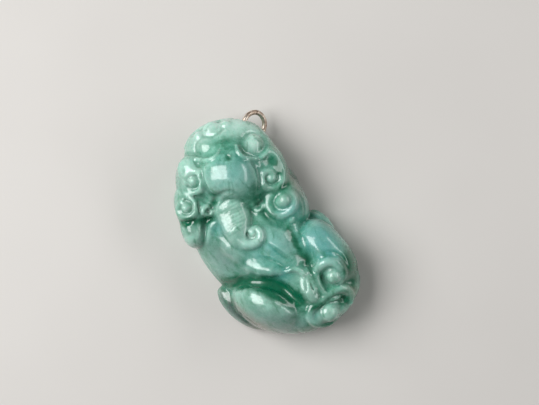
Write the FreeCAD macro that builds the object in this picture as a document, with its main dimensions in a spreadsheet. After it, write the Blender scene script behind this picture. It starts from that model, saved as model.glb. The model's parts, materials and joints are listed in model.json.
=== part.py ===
"""Jade beast pendant: one carved stone and one metal ring that swings in a bore drilled through its lip.

Millimetres. +Z is up through the beast's back, +Y points from the tail to the muzzle, and the beast lies
flat on its belly and paws. The stone is built as rounded masses fused together, carved curls seated on
them, and the cuts taken out. Every size is a cell of the Sizes sheet.
"""

import FreeCAD, Part
import math
import os

doc = FreeCAD.newDocument("JadeBeast")
sheet = doc.addObject("Spreadsheet::Sheet", "Sizes")
sizes = {}


def size(alias, value):
    """Writes one driving dimension to the sheet."""
    row = len(sizes) + 1
    sheet.set(f"A{row}", alias)
    sheet.set(f"B{row}", str(value))
    sheet.setAlias(f"B{row}", alias)
    sizes[alias] = value


# Driving dimensions of the fitting at the lip.
size("wire_diameter", 0.9)
size("ring_radius", 2.25)  # centre of the ring to the centre of its wire
size("ring_joint_angle", 2.5)  # the butt joint where the bent wire closes
size("bore_radius", 1.15)
size("lug_radius", 3.4)  # the stone left round the bore, inside the ring
size("lug_thickness", 2.5)
size("throat_radius", 2.1)  # round room at each end of the bore, where the ring turns
size("swing_clearance", 0.25)
size("swing_down", 60.0)  # degrees the ring turns down from its resting pose
size("swing_up", 5.0)  # degrees it lifts before it meets the lip
size("swing_margin", 17.0)  # degrees of room past each end, for the wire's thickness
size("bore_rise", 35.0)  # the bore's axis climbs this much towards the front of the mouth
size("bore_heading", 135.0)  # and runs this way in plan, along the edge of the muzzle
size("ring_droop", 4.0)  # the resting ring points this far below level
BORE_CENTRE = FreeCAD.Vector(5.93, 15.6, 4.7)

UP = FreeCAD.Vector(0, 0, 1)


def bind(feature, **cells):
    """Binds each named property of a feature to an expression in the sheet's cells."""
    for name, expression in cells.items():
        feature.setExpression(name, expression)


# ---------------------------------------------------------------- rounded masses

masses = []


def ellipsoid(name, half):
    """An ellipsoid of half-sizes half: across along X, along along Y, and high along Z."""
    for side, value in zip(("across", "along", "high"), half):
        size(f"{name}_{side}", value)
    body = doc.addObject("Part::Ellipsoid", name)
    bind(
        body,
        Radius1=f"Sizes.{name}_high",
        Radius2=f"Sizes.{name}_across",
        Radius3=f"Sizes.{name}_along",
    )
    return body


def mass(name, at, half, turn=0.0):
    """A rounded mass centred at a point and turned about +Z."""
    body = ellipsoid(name, half)
    body.Placement = FreeCAD.Placement(FreeCAD.Vector(*at), FreeCAD.Rotation(UP, turn))
    masses.append((body, FreeCAD.Vector(*half)))


def top_of(x, y):
    """The highest point of the masses over (x, y), and the outward normal there."""
    best = None
    for body, half in masses:
        inverse = body.Placement.inverse()
        start = inverse.multVec(FreeCAD.Vector(x, y, 0))
        step = inverse.Rotation.multVec(UP)
        scale = [1 / h for h in half]
        p = FreeCAD.Vector(*[a * s for a, s in zip(start, scale)])
        d = FreeCAD.Vector(*[a * s for a, s in zip(step, scale)])
        a, b, c = d.dot(d), 2 * p.dot(d), p.dot(p) - 1
        if b * b < 4 * a * c:
            continue
        z = (-b + math.sqrt(b * b - 4 * a * c)) / (2 * a)
        if best is None or z > best[0].z:
            local = start + step * z
            slope = FreeCAD.Vector(*[v * s * s for v, s in zip(local, scale)])
            normal = body.Placement.Rotation.multVec(slope).normalize()
            best = (FreeCAD.Vector(x, y, z), normal)
    return best


# Head and neck.
mass("head", (0.6, 12.1, 7.0), (8.6, 9.2, 6.2), turn=-22)
mass("muzzle", (0.1, 16.5, 6.0), (7.4, 4.7, 4.6), turn=-6)
mass("lower_jaw", (1.7, 15.3, 2.6), (4.6, 4.4, 2.2), turn=-22)
mass("forehead", (-0.6, 10.6, 9.4), (4.3, 3.8, 4.9), turn=-22)
mass("left_cheek", (-8.0, 9.0, 4.2), (4.3, 8.3, 4.4), turn=-20)
mass("left_shoulder", (-10.7, 5.2, 4.6), (2.3, 3.4, 3.6), turn=-6)
mass("right_mane", (5.6, 2.6, 6.0), (3.4, 3.3, 3.8))
mass("right_shoulder", (6.3, 3.3, 4.2), (4.0, 6.0, 4.2))
# Trunk and hindquarters.
mass("trunk", (-3.2, -2.5, 5.0), (8.3, 12.5, 6.2), turn=18)
mass("rump", (3.6, -13.4, 4.6), (8.2, 7.6, 5.2))
mass("left_haunch", (-4.7, -13.9, 5.2), (4.8, 7.0, 5.8), turn=35)
mass("right_haunch", (8.5, -8.4, 5.0), (4.2, 6.4, 5.9), turn=15)
# Paws, each flat underneath.
mass("left_hind_paw", (-9.3, -11.0, 1.6), (2.4, 5.2, 2.6), turn=24)
mass("right_hind_paw", (9.9, -4.4, 1.6), (2.0, 3.6, 2.6), turn=10)
mass("left_front_paw", (-7.2, 12.6, 1.5), (2.6, 4.2, 2.3), turn=-14)
mass("right_front_paw", (7.3, 8.0, 1.5), (2.3, 4.2, 2.3), turn=6)

# ---------------------------------------------------------------- carved details

details = []


def seat(x, y, lift=0.0, turn=0.0):
    """A placement on the masses over (x, y): local +Z along the surface's normal, raised by lift."""
    point, normal = top_of(x, y)
    lie = FreeCAD.Rotation(UP, normal) * FreeCAD.Rotation(UP, turn)
    return FreeCAD.Placement(point + normal * lift, lie)


def ball(name, x, y, radius, lift):
    """A round bead standing on the surface, such as an eye or the heart of a curl."""
    size(f"{name}_radius", radius)
    bead = doc.addObject("Part::Sphere", name)
    bind(bead, Radius=f"Sizes.{name}_radius")
    bead.Placement = seat(x, y, lift)
    details.append(bead)


def curl(name, x, y, ring, tube, start, sweep, lift=0.0):
    """A rolled lock of hair: part of a torus lying on the surface, from start through sweep degrees."""
    size(f"{name}_ring", ring)
    size(f"{name}_tube", tube)
    size(f"{name}_sweep", sweep)
    roll = doc.addObject("Part::Torus", name)
    bind(
        roll,
        Radius1=f"Sizes.{name}_ring",
        Radius2=f"Sizes.{name}_tube",
        Angle3=f"Sizes.{name}_sweep",
    )
    roll.Placement = seat(x, y, lift, start)
    details.append(roll)


# Eyes and brows.
ball("left_eye", -1.9, 17.3, 1.4, -0.1)
ball("right_eye", 5.5, 14.1, 1.4, -0.1)
curl("left_brow", -1.9, 17.3, 2.2, 0.4, 190, 150)
curl("right_brow", 5.5, 14.1, 2.3, 0.4, 190, 150)
# The nose: three small lobes at the front of the muzzle.
ball("nose_tip", 0.3, 19.6, 1.1, -0.4)
ball("left_nostril", -1.9, 19.5, 0.9, -0.4)
ball("right_nostril", 2.7, 18.9, 0.9, -0.4)
# Mane curls down both cheeks.
curl("left_upper_curl", -6.6, 13.2, 1.75, 0.6, 60, 300)
ball("left_upper_heart", -6.9, 13.4, 0.7, 0.0)
curl("left_lower_curl", -10.0, 9.4, 1.55, 0.55, 60, 300)
ball("left_lower_heart", -10.1, 9.5, 0.65, 0.0)
curl("left_small_curl", -7.0, 7.2, 0.95, 0.35, 90, 300)
curl("right_upper_curl", 5.7, 7.4, 1.8, 0.6, 120, 300)
ball("right_upper_heart", 5.9, 7.3, 0.7, 0.0)
curl("right_lower_curl", 5.6, 2.4, 1.9, 0.65, 100, 300)
ball("right_lower_heart", 5.9, 2.6, 0.9, 0.0)
curl("right_small_curl", 1.3, 4.2, 0.95, 0.35, 90, 300)
# Tail: a flame between two large curls.
curl("upper_tail_curl", 7.4, -12.6, 2.5, 0.85, 30, 320, -0.2)
ball("upper_tail_heart", 7.7, -12.8, 1.3, -0.2)
curl("lower_tail_curl", 3.4, -17.8, 2.1, 0.8, 60, 300, -0.2)
ball("lower_tail_heart", 4.0, -18.1, 1.3, -0.1)


def leaf(name, at, half, turn):
    """A low ridge carved on the surface: an ellipsoid lying on the masses over a point."""
    ridge = ellipsoid(name, half)
    ridge.Placement = seat(*at, 0.1, turn)
    details.append(ridge)


leaf("tail_flame", (2.7, -12.8), (1.3, 3.4, 0.9), 8)
leaf("tail_lobe", (7.4, -16.8), (2.2, 1.3, 0.9), -30)
leaf("horn_root", (-3.2, 5.2), (2.6, 3.4, 1.9), 0)
leaf("horn_shaft", (-3.7, 1.6), (1.9, 3.4, 1.4), 8)
curl("horn_tip", -1.2, -0.3, 1.2, 0.7, 180, 280)

# ---------------------------------------------------------------- the bore and the ring's room

rise, heading = math.radians(sizes["bore_rise"]), math.radians(sizes["bore_heading"])
bore_axis = FreeCAD.Vector(
    math.cos(rise) * math.cos(heading),
    math.cos(rise) * math.sin(heading),
    math.sin(rise),
)
level_out = bore_axis.cross(UP).normalize()  # level, square to the bore, and away from the head
# A positive turn about the bore's axis lowers the ring.
ring_out = FreeCAD.Rotation(bore_axis, sizes["ring_droop"]).multVec(level_out)
ring_normal = bore_axis.cross(ring_out)


def about_bore(name, radius, length, angle="360", start=0.0):
    """A cylinder centred on the bore, or its sector from start degrees below the resting ring.

    radius, length and angle are sheet cells, or an expression for the angle.
    """
    cylinder = doc.addObject("Part::Cylinder", name)
    bind(cylinder, Radius=f"Sizes.{radius}", Height=f"Sizes.{length}", Angle=angle)
    x_axis = FreeCAD.Rotation(bore_axis, start).multVec(ring_out)
    lie = FreeCAD.Rotation(x_axis, bore_axis.cross(x_axis), bore_axis, "ZXY")
    cylinder.Placement = FreeCAD.Placement(BORE_CENTRE - bore_axis * (sizes[length] / 2), lie)
    return cylinder


def add(name, base, tool):
    """Two solids fused into one."""
    whole = doc.addObject("Part::Fuse", name)
    whole.Base, whole.Tool = base, tool
    return whole


def subtract(name, base, tool):
    """A solid with another taken out of it."""
    rest = doc.addObject("Part::Cut", name)
    rest.Base, rest.Tool = base, tool
    return rest


# The room is the ring's own reach and width, with clearance all round.
size("room_reach", 2 * sizes["ring_radius"] + sizes["wire_diameter"] / 2 + sizes["swing_clearance"])
size("room_width", 2 * sizes["ring_radius"] + sizes["wire_diameter"] + 2 * sizes["swing_clearance"])
SWING = "Sizes.swing_up + Sizes.swing_down + 2 * Sizes.swing_margin"
swept = about_bore("swept", "room_reach", "room_width", SWING, -sizes["swing_up"] - sizes["swing_margin"])
throats = about_bore("throats", "throat_radius", "room_width")
solid_lug = about_bore("solid_lug", "lug_radius", "lug_thickness")
bore = about_bore("bore", "bore_radius", "room_width")
ring_room = subtract("ring_room", add("turning_room", swept, throats), subtract("lug", solid_lug, bore))

mouth = doc.addObject("Part::Cylinder", "mouth")
size("mouth_radius", 4.2)
size("mouth_gape", 1.2)
bind(mouth, Radius="Sizes.mouth_radius", Height="Sizes.mouth_gape")
mouth.Placement = FreeCAD.Placement(FreeCAD.Vector(1.2, 20.6, 4.3), FreeCAD.Rotation(FreeCAD.Vector(1, 0, 0), -8))

ground = doc.addObject("Part::Box", "ground")
size("ground_side", 60.0)
size("ground_depth", 10.0)
bind(ground, Length="Sizes.ground_side", Width="Sizes.ground_side", Height="Sizes.ground_depth")
middle = sizes["ground_side"] / 2
ground.Placement.Base = FreeCAD.Vector(-middle, -middle, -sizes["ground_depth"])

# ---------------------------------------------------------------- the carved stone

# The ring's room is cut while the head is still simple, and each later step adds one feature: the kernel
# keeps the solid valid more surely than in one large fuse.
HEAD_PARTS = 3
bodies = [body for body, _ in masses]
stone = bodies[0]
for body in bodies[1:HEAD_PARTS]:
    stone = add(f"with_{body.Name}", stone, body)
stone = subtract("less_ring_room", stone, ring_room)
for body in bodies[HEAD_PARTS:] + details:
    stone = add(f"with_{body.Name}", stone, body)
for tool in (mouth, ground):
    stone = subtract(f"less_{tool.Name}", stone, tool)
stone.Label = "jade_carving"

# ---------------------------------------------------------------- the ring

ring = doc.addObject("Part::Torus", "bail_ring")
bind(
    ring,
    Radius1="Sizes.ring_radius",
    Radius2="Sizes.wire_diameter / 2",
    Angle3="360 - Sizes.ring_joint_angle",
)
JOINT_SIDE = 8.0  # degrees from the ring's outermost point round to the butt joint
towards_joint = FreeCAD.Rotation(ring_normal, -JOINT_SIDE).multVec(ring_out)
ring_lie = FreeCAD.Rotation(towards_joint, ring_normal.cross(towards_joint), ring_normal, "ZXY")
ring.Placement = FreeCAD.Placement(BORE_CENTRE + ring_out * sizes["ring_radius"], ring_lie)

# ---------------------------------------------------------------- checks and export

doc.recompute()
failed = [o.Name for o in doc.Objects if "Invalid" in o.State or "Error" in o.State]
if failed:
    raise SystemExit(f"these objects failed: {failed}")
parts = [stone, ring]
os.makedirs("parts", exist_ok=True)
for part in parts:
    shape = part.Shape
    if shape.isNull() or not shape.isValid() or not shape.Solids:
        raise SystemExit(f"{part.Label} is not a valid solid")
for part in parts:
    box = part.Shape.optimalBoundingBox(False)
    print(
        f"{part.Label}: {len(part.Shape.Solids)} solid, volume {part.Shape.Volume:.1f} mm3,"
        f" x {box.XMin:.2f} {box.XMax:.2f}, y {box.YMin:.2f} {box.YMax:.2f}, z {box.ZMin:.2f} {box.ZMax:.2f}"
    )
    part.Shape.exportStep(f"parts/{part.Label}.step")
print("overlap of stone and ring:", round(stone.Shape.common(ring.Shape).Volume, 4), "mm3")
print("bore axis", [round(v, 5) for v in bore_axis], "ring out", [round(v, 5) for v in ring_out])
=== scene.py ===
"""The jade beast pendant: a polished, carved stone and its wire ring, on a pale floor.

The stone is sculpted as a block of signed distances, in millimetres of the CAD frame. Rounded masses are
blended together, bands and grooves are laid on or cut in along drawn lines, and the surface is meshed.
The ring keeps its CAD mesh and gets a metal of its own.
"""

import json
import math

import bpy
import numpy as np
import openvdb
from mathutils import Matrix, Quaternion, Vector


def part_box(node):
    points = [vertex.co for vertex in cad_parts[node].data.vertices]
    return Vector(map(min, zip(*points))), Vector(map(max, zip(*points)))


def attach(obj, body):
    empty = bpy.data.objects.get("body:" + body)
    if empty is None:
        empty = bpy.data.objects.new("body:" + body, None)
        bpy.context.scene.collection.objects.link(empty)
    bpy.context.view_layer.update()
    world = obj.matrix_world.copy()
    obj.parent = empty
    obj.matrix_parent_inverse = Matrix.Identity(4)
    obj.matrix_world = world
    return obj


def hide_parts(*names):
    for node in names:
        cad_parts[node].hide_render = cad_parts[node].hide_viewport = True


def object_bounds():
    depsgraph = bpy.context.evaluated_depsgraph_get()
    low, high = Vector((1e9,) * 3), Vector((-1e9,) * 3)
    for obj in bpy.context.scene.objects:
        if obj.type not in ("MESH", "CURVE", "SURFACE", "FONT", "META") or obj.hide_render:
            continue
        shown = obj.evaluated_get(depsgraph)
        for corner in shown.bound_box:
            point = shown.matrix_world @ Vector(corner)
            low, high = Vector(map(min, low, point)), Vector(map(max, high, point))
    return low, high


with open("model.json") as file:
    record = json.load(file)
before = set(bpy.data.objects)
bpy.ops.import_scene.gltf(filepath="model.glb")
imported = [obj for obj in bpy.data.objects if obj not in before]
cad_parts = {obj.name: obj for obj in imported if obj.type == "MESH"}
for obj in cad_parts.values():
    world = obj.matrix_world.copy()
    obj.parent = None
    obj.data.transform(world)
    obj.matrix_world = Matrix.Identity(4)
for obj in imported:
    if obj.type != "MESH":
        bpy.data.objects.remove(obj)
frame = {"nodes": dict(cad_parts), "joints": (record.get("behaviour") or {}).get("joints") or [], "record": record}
cad_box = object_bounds()

MM = 0.001
VOXEL = 0.165
MOST_TRIANGLES = 190000
FAR = 1.6  # distances are kept only this near the surface
SPARE = 0.6  # the grid's margin round the stone, and round the ring's room
GROUND_EDGE = 0.3  # rounding where the sides meet the flat ground
BORE_EDGE = 0.5  # rounding round the ring's room
LINE_SPACING = 0.35  # between the points of a drawn line
KNOT_TURN = 20  # degrees between the knots of a spiral

stone_low, stone_high = (np.array(corner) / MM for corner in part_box("jade_carving"))
joint = frame["joints"][0]
bore_centre = np.array(joint["pos_m"]) / MM
bore_axis = np.array(joint["axis"]) / np.linalg.norm(joint["axis"])
ring_eye = next(mount for mount in frame["record"]["mounts"] if mount["name"] == "ring_eye")
ring_out = np.array(ring_eye["pos_m"]) / MM - bore_centre
ring_radius = np.linalg.norm(ring_out)
ring_out = ring_out / ring_radius

WIRE = 0.9
CLEARANCE = 0.3
RING_REACH = 2 * ring_radius + WIRE / 2 + CLEARANCE
RING_ROOM_WIDTH = 2 * ring_radius + WIRE + 2 * CLEARANCE
SWING_MARGIN = 17.0  # degrees of room past each limit
SWING_ROOM = (joint["range_deg"][0] - SWING_MARGIN, joint["range_deg"][1] + SWING_MARGIN)
THROAT_RADIUS = 2.15  # the room all round the bore's axis, each side of the lug
LUG_RADIUS, LUG_THICKNESS = 3.4, 2.4  # the part of the lip that the ring goes through
BORE_RADIUS = 1.22

# ---------------------------------------------------------------- the sculpting block


def smooth_union(a, b, blend):
    """The smaller of two distances, with the crease between them filled to about blend."""
    share = np.clip(0.5 + 0.5 * (b - a) / blend, 0, 1)
    return b + (a - b) * share - blend * share * (1 - share)


def smooth_cut(a, b, blend):
    """Distance a with the solid b taken out of it."""
    return -smooth_union(-a, b, blend)


class Clay:
    """Signed distances on a grid, negative inside the stone."""

    def __init__(self, low, high, step):
        self.low = np.array(low, float)
        self.high = np.array(high, float)
        self.step = step
        counts = np.ceil((self.high - self.low) / step).astype(int) + 1
        self.axes = [self.low[i] + step * np.arange(counts[i]) for i in range(3)]
        self.d = np.full(counts, FAR, np.float32)

    def copy(self):
        twin = Clay(self.low, self.high, self.step)
        twin.d = self.d.copy()
        return twin

    def window(self, low, high, margin=FAR):
        """The part of the grid that covers a box, and its coordinates."""
        parts, coordinates = [], []
        for i, axis in enumerate(self.axes):
            first = int(np.clip((low[i] - margin - self.low[i]) / self.step, 0, len(axis) - 1))
            last = int(np.clip((high[i] + margin - self.low[i]) / self.step + 2, first + 1, len(axis)))
            parts.append(slice(first, last))
            shape = [1, 1, 1]
            shape[i] = -1
            coordinates.append(axis[first:last].reshape(shape).astype(np.float32))
        return tuple(parts), coordinates

    def apply(self, where, shape, blend, cut):
        """Adds a solid given by its distances to a window of the block, or cuts it out."""
        change = smooth_cut if cut else smooth_union
        self.d[where] = change(self.d[where], np.minimum(shape, 2 * FAR).astype(np.float32), blend)

    def mass(self, at, half, turn=0.0, lean=0.0, blend=1.0, cut=False, square=2.0):
        """An ellipsoid, leaned about its own X and then turned about +Z. square above 2 makes it boxier."""
        reach = max(half)
        where, (x, y, z) = self.window(np.array(at) - reach, np.array(at) + reach)
        spin = Matrix.Rotation(math.radians(turn), 3, "Z") @ Matrix.Rotation(math.radians(lean), 3, "X")
        local = [
            np.abs((x - at[0]) * spin[0][i] + (y - at[1]) * spin[1][i] + (z - at[2]) * spin[2][i]) / half[i]
            for i in range(3)
        ]
        near = np.maximum(sum(p**square for p in local), 1e-6) ** (1 / square)
        slope = np.sqrt(sum((p ** (square - 1) / h) ** 2 for p, h in zip(local, half)))
        gap = (near - 1) * near ** (square - 1) / np.maximum(slope, 1e-4)
        self.apply(where, gap, blend, cut)

    def stroke(self, points, radii, blend=0.3, cut=False, flat=1.0):
        """A round line through points, of a radius for each. flat above 1 squashes it in Z."""
        points, radii = np.array(points, float), np.array(radii, float)
        reach = radii.max()
        where, (x, y, z) = self.window(points.min(0) - reach, points.max(0) + reach)
        nearest = None
        for a, b, ra, rb in zip(points, points[1:], radii, radii[1:]):
            line = (b - a) * (1, 1, flat)
            length = max(float(line @ line), 1e-9)
            p = [x - a[0], y - a[1], (z - a[2]) * flat]
            t = np.clip((p[0] * line[0] + p[1] * line[1] + p[2] * line[2]) / length, 0, 1)
            gap = np.sqrt(sum((p[i] - t * line[i]) ** 2 for i in range(3))) - (ra + t * (rb - ra))
            nearest = gap if nearest is None else np.minimum(nearest, gap)
        self.apply(where, nearest, blend, cut)

    def soften(self, rounds=1):
        """Rounds every crease a little, as polishing does."""
        for _ in range(rounds):
            for axis in range(3):
                d = self.d
                padded = np.concatenate([d.take([0], axis), d, d.take([-1], axis)], axis)
                count = d.shape[axis]
                before = padded.take(range(count), axis)
                after = padded.take(range(2, count + 2), axis)
                self.d = 0.5 * d + 0.25 * (before + after)

    def sample(self, points):
        """The distance at each point, between grid points."""
        place = np.clip((points - self.low) / self.step, 0, np.array(self.d.shape) - 1.001)
        base = place.astype(int)
        f = place - base
        total = 0
        for corner in np.ndindex(2, 2, 2):
            weight = np.prod(np.where(corner, f, 1 - f), axis=1)
            index = base + corner
            total = total + weight * self.d[index[:, 0], index[:, 1], index[:, 2]]
        return total

    def normal(self, points):
        """The direction out of the stone at each point."""
        steps = np.eye(3) * self.step
        slopes = np.stack([self.sample(points + step) - self.sample(points - step) for step in steps], axis=1)
        return slopes / np.maximum(np.linalg.norm(slopes, axis=1, keepdims=True), 1e-6)


class Drawing:
    """Lines drawn on the stone as it looks from above, or from a side, and laid on what shows there.

    The surface they are laid on is the one that was there when the drawing was begun.
    """

    REACH = 24.0  # how far each side of the origin the surface is looked for

    def __init__(self, clay, azimuth=None):
        self.clay = clay
        self.ground = clay.copy()
        self.right, self.up, self.toward = np.eye(3)
        if azimuth is not None:
            c, s = math.cos(math.radians(azimuth)), math.sin(math.radians(azimuth))
            self.right, self.up, self.toward = np.array([(-s, c, 0), (0, 0, 1), (c, s, 0)])

    def depth(self, line):
        """How far towards the viewer the surface is at each point of a line."""
        depths = np.arange(self.REACH, -self.REACH, -self.clay.step)
        flat = line[:, :1] * self.right + line[:, 1:] * self.up
        places = flat[:, None, :] + depths[None, :, None] * self.toward
        gaps = self.ground.sample(places.reshape(-1, 3)).reshape(len(line), len(depths))
        first = np.maximum(np.argmax(gaps < 0, axis=1), 1)
        row = np.arange(len(line))
        outside, inside = gaps[row, first - 1], gaps[row, first]
        found = depths[first - 1] - self.clay.step * outside / np.maximum(outside - inside, 1e-6)
        met = gaps.min(axis=1) < 0
        return np.interp(row, row[met], found[met])

    def drape(self, line, lift):
        """A line laid on the surface and raised by lift, with its sudden drops evened out."""
        line = np.array(line, float)
        depth = self.depth(line)
        for _ in range(3):
            even = np.convolve(np.pad(depth, 1, mode="edge"), [0.25, 0.5, 0.25], "valid")
            depth = np.maximum((depth + even) / 2, even)
        points = line[:, :1] * self.right + line[:, 1:] * self.up + depth[:, None] * self.toward
        return points + lift * self.ground.normal(points)

    def ridge(self, line, widths, lift=0.0, blend=0.4, flat=1.0):
        """A raised round band. widths gives its width at each knot, or evenly spread along it."""
        smooth, radii = curve(line, widths)
        self.clay.stroke(self.drape(smooth, lift), radii, blend, flat=flat)

    def groove(self, line, widths, lift=0.15, blend=0.35):
        """A cut line."""
        smooth, radii = curve(line, widths)
        self.clay.stroke(self.drape(smooth, lift), radii, blend, cut=True)

    def bead(self, x, y, radius, lift=0.0, blend=0.25, cut=False):
        """A round bead, or a round pit if cut."""
        place = self.drape([(x, y)], 0.0)[0] + lift * self.toward
        self.clay.mass(place, (radius,) * 3, blend=blend, cut=cut)


def curve(knots, widths):
    """A smooth line through knots, and half its width at each of its points."""
    knots = np.array(knots, float)
    widths = np.interp(np.linspace(0, 1, len(knots)), np.linspace(0, 1, len(widths)), widths)
    ends = np.vstack([2 * knots[0] - knots[1], knots, 2 * knots[-1] - knots[-2]])
    line, radii = [], []
    for i in range(len(knots) - 1):
        p0, p1, p2, p3 = ends[i : i + 4]
        count = max(2, int(np.linalg.norm(p2 - p1) / LINE_SPACING) + 1)
        for t in np.arange(count) / count:
            bend = (2 * p0 - 5 * p1 + 4 * p2 - p3) * t**2 + (3 * p1 - p0 - 3 * p2 + p3) * t**3
            line.append(0.5 * (2 * p1 + (p2 - p0) * t + bend))
            radii.append((widths[i] + (widths[i + 1] - widths[i]) * t) / 2)
    line.append(knots[-1])
    radii.append(widths[-1] / 2)
    return np.array(line), np.array(radii)


def spiral(centre, start_radius, end_radius, start, turn):
    """Points of a spiral, from start degrees through turn degrees, negative for clockwise."""
    steps = max(4, int(abs(turn) / KNOT_TURN))
    knots = []
    for t in np.linspace(0, 1, steps + 1):
        angle = math.radians(start + turn * t)
        radius = start_radius + (end_radius - start_radius) * t
        knots.append((centre[0] + radius * math.cos(angle), centre[1] + radius * math.sin(angle)))
    return knots


# ---------------------------------------------------------------- the beast


def rough_out(clay):
    """The rounded masses of the beast, before any line is cut."""
    # Trunk: a broad flank, and the back standing on it with an edge along its left.
    clay.mass((-3.4, -2.0, 1.6), (8.3, 12.6, 6.8), 14)
    clay.mass((-4.9, -2.2, 4.3), (11.0, 6.4, 4.5), 104, -35, blend=0.8, square=2.5)
    clay.mass((-1.3, -1.9, 5.4), (5.0, 10.4, 4.5), 38, -11, blend=0.7, square=3.2)
    clay.mass((2.6, -1.5, 5.2), (5.0, 8.0, 4.4), 0, blend=0.8, square=2.3)
    clay.mass((1.9, -9.8, 5.4), (3.8, 6.4, 5.2), 14, blend=0.8, square=2.6)
    # Hindquarters and haunches.
    clay.mass((2.6, -13.5, 4.6), (9.0, 7.3, 4.9), 0, blend=1.0, square=2.3)
    clay.mass((-4.5, -12.7, 2.4), (5.0, 7.5, 8.7), 38, blend=0.35, square=2.1)
    clay.mass((8.35, -9.0, 4.9), (4.15, 6.8, 6.3), 13, blend=0.35, square=2.5)
    clay.mass((9.2, -13.2, 3.6), (3.3, 5.2, 4.6), -8, blend=0.6, square=2.4)
    # Shoulder, and the right cheek ahead of it.
    clay.mass((6.0, 2.4, 4.8), (4.0, 5.2, 5.2), 0, blend=0.5, square=2.4)
    clay.mass((5.7, 9.0, 5.4), (3.8, 5.4, 5.0), -4, blend=0.5, square=2.4)
    # Legs folded against the body.
    clay.mass((-9.4, -11.2, 1.6), (2.5, 5.6, 2.2), 24, blend=0.3)
    clay.mass((9.9, -4.6, 2.2), (2.0, 3.6, 2.6), 10, blend=0.3)
    clay.mass((-7.4, 11.8, 1.9), (3.0, 4.4, 2.4), -26, blend=0.3)
    clay.mass((7.6, 5.0, 2.6), (2.4, 4.4, 3.0), 0, blend=0.3)
    # Head: left cheek in three steps down, skull, muzzle and jaw.
    clay.mass((-8.7, 9.2, 4.6), (3.6, 4.5, 4.7), -14, blend=0.5, square=2.3)
    clay.mass((-10.9, 5.3, 4.4), (2.2, 3.3, 4.0), -8, blend=0.5, square=2.3)
    clay.mass((-6.0, 13.2, 5.2), (4.0, 4.3, 5.0), -30, blend=0.5, square=2.2)
    clay.mass((0.8, 11.9, 6.4), (8.0, 8.3, 4.9), -16, blend=0.6, square=2.2)
    clay.mass((0.7, 15.8, 5.8), (7.2, 4.9, 3.9), -10, blend=1.0, square=2.3)
    clay.mass((1.7, 15.3, 2.8), (4.6, 4.4, 2.2), -22, blend=0.4)
    # The forehead's bulge, running up into the bridge of the nose.
    clay.mass((-0.5, 11.0, 8.5), (4.1, 5.3, 5.4), 60, -13, blend=1.1, square=2.5)
    clay.mass((1.5, 8.9, 7.2), (2.9, 4.0, 5.0), 18, blend=1.0, square=2.3)
    clay.mass((0.8, 13.4, 8.3), (3.4, 4.2, 4.3), -16, blend=1.6, square=2.2)


def carve_muzzle(top):
    """Eyes, brows, nose and forehead."""
    # Each eye: its place, its socket's radius and lift, and its ball's lift.
    eyes = (
        (-1.9, 17.3, 1.9, 0.55, -1.75),
        (5.6, 14.1, 2.0, 0.44, -1.45),
    )
    for x, y, socket, socket_lift, ball_lift in eyes:
        top.groove(spiral((x, y), socket, socket, 0, 360), [1.2], lift=socket_lift, blend=0.6)
        top.bead(x, y, 1.8, ball_lift, blend=0.4)
    # Nose: one broad low lobe between two small ones, at the tip.
    top.groove([(-1.9, 20.2), (-1.3, 19.2), (0.3, 18.6), (2.0, 18.9), (2.6, 19.9)], [0.5], lift=0.1)
    top.bead(0.2, 19.7, 1.6, lift=-1.5, blend=0.5)
    top.bead(-2.3, 19.6, 1.0, lift=-0.85, blend=0.4)
    top.bead(2.8, 19.2, 1.0, lift=-0.85, blend=0.4)
    # Wrinkles across the bridge, and the pit between the brows.
    for step in range(5):
        radius = 0.9 + 0.55 * step
        top.groove(spiral((1.3, 18.0), radius, radius, 215, 110), [0.2, 0.5, 0.2], lift=0.06)
    top.groove([(0.65, 14.3), (0.75, 13.6)], [0.9, 0.7], lift=0.15)
    # Left brow: a fine ridge with the cheek swelling under it.
    top.groove([(-7.6, 17.0), (-6.2, 17.8), (-4.9, 17.4), (-4.1, 16.5)], [0.3, 1.0, 0.9, 0.5], lift=0.3)
    top.bead(-6.1, 15.0, 2.6, lift=-2.1, blend=0.5)
    top.groove([(-2.4, 14.6), (-3.4, 14.7), (-4.2, 15.1), (-4.8, 15.6)], [0.3, 0.8, 0.8, 0.3], lift=0.25)
    top.ridge(
        [
            (-0.2, 15.8), (-1.2, 15.1), (-2.3, 15.0), (-3.3, 15.4), (-4.2, 16.1), (-5.1, 16.7),
            (-6.2, 17.0), (-7.2, 16.7), (-7.9, 16.0), (-8.4, 14.9),
        ],
        [0.35, 0.75, 0.75, 0.7, 0.65, 0.4], lift=0.12,
    )
    # Right brow, round the inner side of the eye.
    top.ridge(
        [(2.9, 15.2), (2.7, 13.9), (3.0, 12.8), (3.8, 12.0), (4.9, 11.6)],
        [0.4, 0.8, 0.8, 0.7], lift=0.12,
    )
    # The forehead stands clear of the cheeks and the horn.
    top.groove(
        [(-4.4, 14.0), (-5.0, 12.6), (-5.3, 11.0), (-5.1, 9.6), (-4.5, 8.9)],
        [0.4, 1.0, 1.2, 1.2, 0.9],
    )
    top.groove(
        [(-5.9, 7.4), (-4.9, 8.4), (-3.2, 8.8), (-1.5, 8.3), (-0.4, 7.1)],
        [0.6, 0.9, 1.0, 0.9, 0.4], lift=0.2,
    )
    top.groove([(2.9, 6.2), (3.8, 7.8), (4.2, 9.6), (4.0, 11.2)], [0.9, 1.2, 1.1, 0.5], lift=0.2)


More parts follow.
